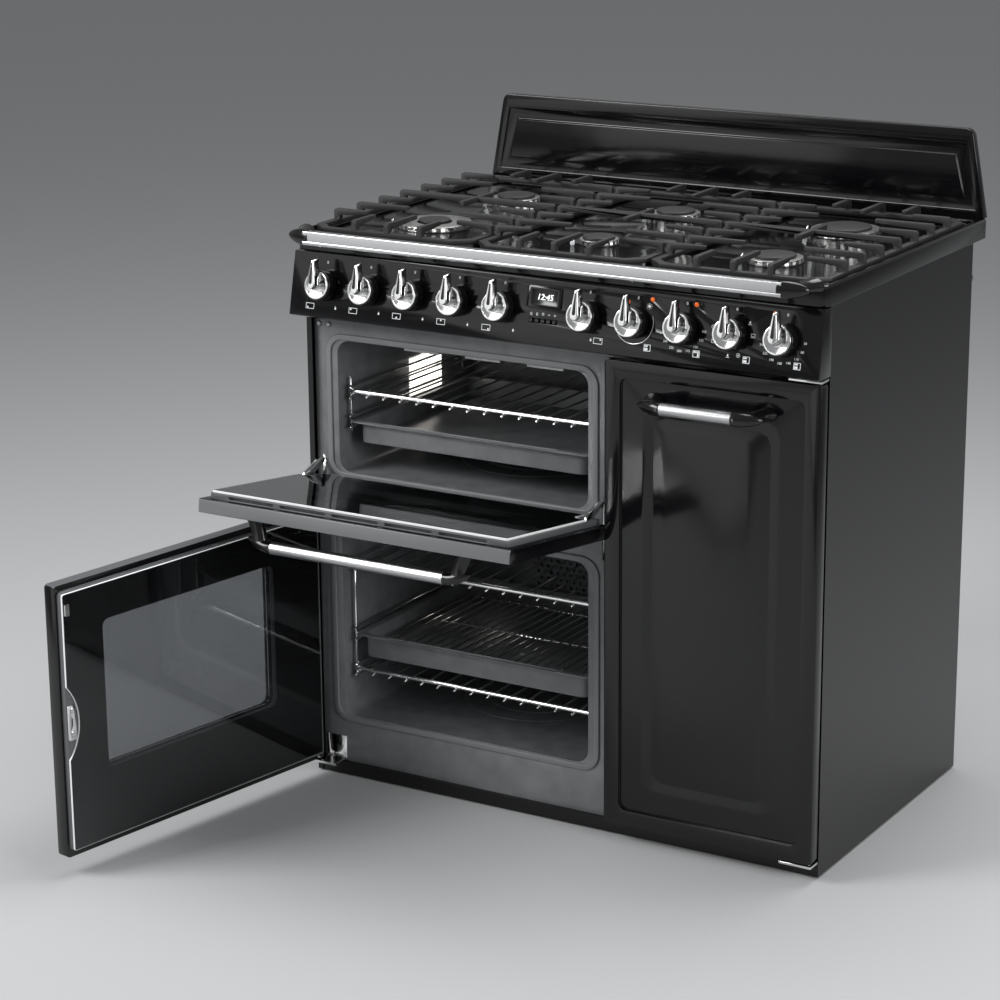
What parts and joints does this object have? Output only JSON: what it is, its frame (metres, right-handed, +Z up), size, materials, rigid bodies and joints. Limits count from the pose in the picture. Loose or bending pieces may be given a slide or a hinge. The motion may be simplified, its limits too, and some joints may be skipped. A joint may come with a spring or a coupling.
{
  "type": "range cooker",
  "caption": "Free-standing range cooker with a gas hob, a drop-down upper oven, a side-hung main oven and a tall side-hung oven, shown with both left doors open.",
  "frame": {"origin": "on the floor, at the centre of the four levelling feet", "axes": "+X to the right seen from the front, +Y to the back, +Z up"},
  "size_m": [1.025, 1.1317, 1.039],
  "materials": {
    "enamel": "gloss black vitreous enamel",
    "oven_enamel": "dark grey speckled oven enamel",
    "frame_grey": "grey enamel face plate",
    "door_metal": "dark satin inner door frame",
    "glass": "dark tinted oven glass",
    "seal": "black fibre and silicone seal",
    "chrome": "bright chrome",
    "brushed": "brushed steel",
    "steel": "plain steel",
    "cap_black": "black moulded end cap",
    "knob": "black knob with a chrome lever",
    "iron": "matt black enamelled cast iron",
    "crown": "cast aluminium",
    "cap_enamel": "matt black enamelled cap",
    "brass_gas": "brass taps and pipe",
    "display": "black clock window",
    "button": "black push button",
    "foot": "black levelling foot",
    "lamp": "frosted lamp glass",
    "galvanised": "galvanised sheet"
  },
  "bodies": {
    "cooker": {"side_panels": "enamel", "back_panel": "galvanised", "base_plinth": "enamel", "levelling_feet": "foot", "hob_top": "enamel", "splashback": "enamel", "front_rail": "brushed", "rail_ends": "cap_black", "control_panel": "enamel", "clock_display": "display", "front_frame": "frame_grey", "upper_cavity": "oven_enamel", "main_cavity": "oven_enamel", "tall_cavity": "oven_enamel", "door_seals": "seal", "side_racks": "chrome", "tall_shelves": "chrome", "fan_cover": "oven_enamel", "grill_element": "steel", "oven_lamps": "lamp", "burner_bodies": "crown", "burner_caps": "cap_enamel", "taps_and_switches": "brass_gas", "door_hinges": "steel"},
    "upper_door": {"upper_door_panel": "enamel", "upper_door_frame": "door_metal", "upper_door_glass": "glass", "upper_door_handle": "brushed", "upper_door_arms": "steel"},
    "main_door": {"main_door_panel": "enamel", "main_door_frame": "door_metal", "main_door_glass": "glass", "main_door_handle": "brushed"},
    "tall_door": {"tall_door_panel": "enamel", "tall_door_liner": "door_metal", "tall_door_handle": "brushed"},
    "upper_shelf": {"upper_shelf": "chrome"},
    "upper_tray": {"upper_tray": "oven_enamel"},
    "main_top_shelf": {"main_top_shelf": "chrome"},
    "main_tray": {"main_tray": "oven_enamel"},
    "main_bottom_shelf": {"main_bottom_shelf": "chrome"},
    "fan": {"fan_wheel": "steel"},
    "pan_support_1": {"pan_support_1": "iron"},
    "pan_support_2": {"pan_support_2": "iron"},
    "pan_support_3": {"pan_support_3": "iron"},
    "knob_1": {"knob_1": "knob"},
    "knob_2": {"knob_2": "knob"},
    "knob_3": {"knob_3": "knob"},
    "knob_4": {"knob_4": "knob"},
    "knob_5": {"knob_5": "knob"},
    "knob_6": {"knob_6": "knob"},
    "knob_7": {"knob_7": "knob"},
    "knob_8": {"knob_8": "knob"},
    "knob_9": {"knob_9": "knob"},
    "knob_10": {"knob_10": "knob"},
    "clock_button_1": {"clock_button_1": "button"},
    "clock_button_2": {"clock_button_2": "button"},
    "clock_button_3": {"clock_button_3": "button"},
    "clock_button_4": {"clock_button_4": "button"},
    "clock_button_5": {"clock_button_5": "button"}
  },
  "joints": [
    {"name": "upper_door_drop", "type": "hinge", "parent": "cooker", "child": "upper_door", "pos_m": [-0.1755, -0.306, 0.484], "axis": [1, 0, 0], "range_deg": [-82.5, 0]},
    {"name": "main_door_swing", "type": "hinge", "parent": "cooker", "child": "main_door", "pos_m": [-0.44, -0.3, 0.24], "axis": [0, 0, -1], "range_deg": [-100, 0]},
    {"name": "tall_door_swing", "type": "hinge", "parent": "cooker", "child": "tall_door", "pos_m": [0.44, -0.3, 0.4], "axis": [0, 0, 1], "range_deg": [0, 95]},
    {"name": "upper_shelf_slide", "type": "slide", "parent": "cooker", "child": "upper_shelf", "axis": [0, -1, 0], "range_m": [0, 0.25]},
    {"name": "upper_tray_slide", "type": "slide", "parent": "cooker", "child": "upper_tray", "axis": [0, -1, 0], "range_m": [0, 0.25]},
    {"name": "main_top_shelf_slide", "type": "slide", "parent": "cooker", "child": "main_top_shelf", "axis": [0, -1, 0], "range_m": [0, 0.25]},
    {"name": "main_tray_slide", "type": "slide", "parent": "cooker", "child": "main_tray", "axis": [0, -1, 0], "range_m": [0, 0.25]},
    {"name": "main_bottom_shelf_slide", "type": "slide", "parent": "cooker", "child": "main_bottom_shelf", "axis": [0, -1, 0], "range_m": [0, 0.25]},
    {"name": "pan_support_1_lift", "type": "slide", "parent": "cooker", "child": "pan_support_1", "axis": [0, 0, 1], "range_m": [0, 0.06]},
    {"name": "pan_support_2_lift", "type": "slide", "parent": "cooker", "child": "pan_support_2", "axis": [0, 0, 1], "range_m": [0, 0.06]},
    {"name": "pan_support_3_lift", "type": "slide", "parent": "cooker", "child": "pan_support_3", "axis": [0, 0, 1], "range_m": [0, 0.06]},
    {"name": "knob_1_turn", "type": "hinge", "parent": "cooker", "child": "knob_1", "pos_m": [-0.39, -0.32327, 0.82162], "axis": [0, -0.9774, 0.2116], "range_deg": [0, 210]},
    {"name": "knob_2_turn", "type": "hinge", "parent": "cooker", "child": "knob_2", "pos_m": [-0.3106, -0.32327, 0.82162], "axis": [0, -0.9774, 0.2116], "range_deg": [0, 210]},
    {"name": "knob_3_turn", "type": "hinge", "parent": "cooker", "child": "knob_3", "pos_m": [-0.2312, -0.32327, 0.82162], "axis": [0, -0.9774, 0.2116], "range_deg": [0, 210]},
    {"name": "knob_4_turn", "type": "hinge", "parent": "cooker", "child": "knob_4", "pos_m": [-0.1518, -0.32327, 0.82162], "axis": [0, -0.9774, 0.2116], "range_deg": [0, 210]},
    {"name": "knob_5_turn", "type": "hinge", "parent": "cooker", "child": "knob_5", "pos_m": [-0.0724, -0.32327, 0.82162], "axis": [0, -0.9774, 0.2116], "range_deg": [0, 210]},
    {"name": "knob_6_turn", "type": "hinge", "parent": "cooker", "child": "knob_6", "pos_m": [0.0724, -0.32327, 0.82162], "axis": [0, -0.9774, 0.2116], "range_deg": [0, 210]},
    {"name": "knob_7_turn", "type": "hinge", "parent": "cooker", "child": "knob_7", "pos_m": [0.1518, -0.32327, 0.82162], "axis": [0, -0.9774, 0.2116], "range_deg": [-250, 0]},
    {"name": "knob_8_turn", "type": "hinge", "parent": "cooker", "child": "knob_8", "pos_m": [0.2312, -0.32327, 0.82162], "axis": [0, -0.9774, 0.2116], "range_deg": [-270, 0]},
    {"name": "knob_9_turn", "type": "hinge", "parent": "cooker", "child": "knob_9", "pos_m": [0.3106, -0.32327, 0.82162], "axis": [0, -0.9774, 0.2116], "range_deg": [-280, 0]},
    {"name": "knob_10_turn", "type": "hinge", "parent": "cooker", "child": "knob_10", "pos_m": [0.39, -0.32327, 0.82162], "axis": [0, -0.9774, 0.2116], "range_deg": [-270, 0]},
    {"name": "clock_button_1_press", "type": "slide", "parent": "cooker", "child": "clock_button_1", "axis": [0, 0.9774, -0.2116], "range_m": [0, 0.0012], "stiffness_N_per_m": 300, "springref_m": -0.001},
    {"name": "clock_button_2_press", "type": "slide", "parent": "cooker", "child": "clock_button_2", "axis": [0, 0.9774, -0.2116], "range_m": [0, 0.0012], "stiffness_N_per_m": 300, "springref_m": -0.001},
    {"name": "clock_button_3_press", "type": "slide", "parent": "cooker", "child": "clock_button_3", "axis": [0, 0.9774, -0.2116], "range_m": [0, 0.0012], "stiffness_N_per_m": 300, "springref_m": -0.001},
    {"name": "clock_button_4_press", "type": "slide", "parent": "cooker", "child": "clock_button_4", "axis": [0, 0.9774, -0.2116], "range_m": [0, 0.0012], "stiffness_N_per_m": 300, "springref_m": -0.001},
    {"name": "clock_button_5_press", "type": "slide", "parent": "cooker", "child": "clock_button_5", "axis": [0, 0.9774, -0.2116], "range_m": [0, 0.0012], "stiffness_N_per_m": 300, "springref_m": -0.001},
    {"name": "fan_spin", "type": "hinge", "parent": "cooker", "child": "fan", "pos_m": [-0.173, 0.13, 0.262], "axis": [0, 1, 0], "continuous": true}
  ]
}
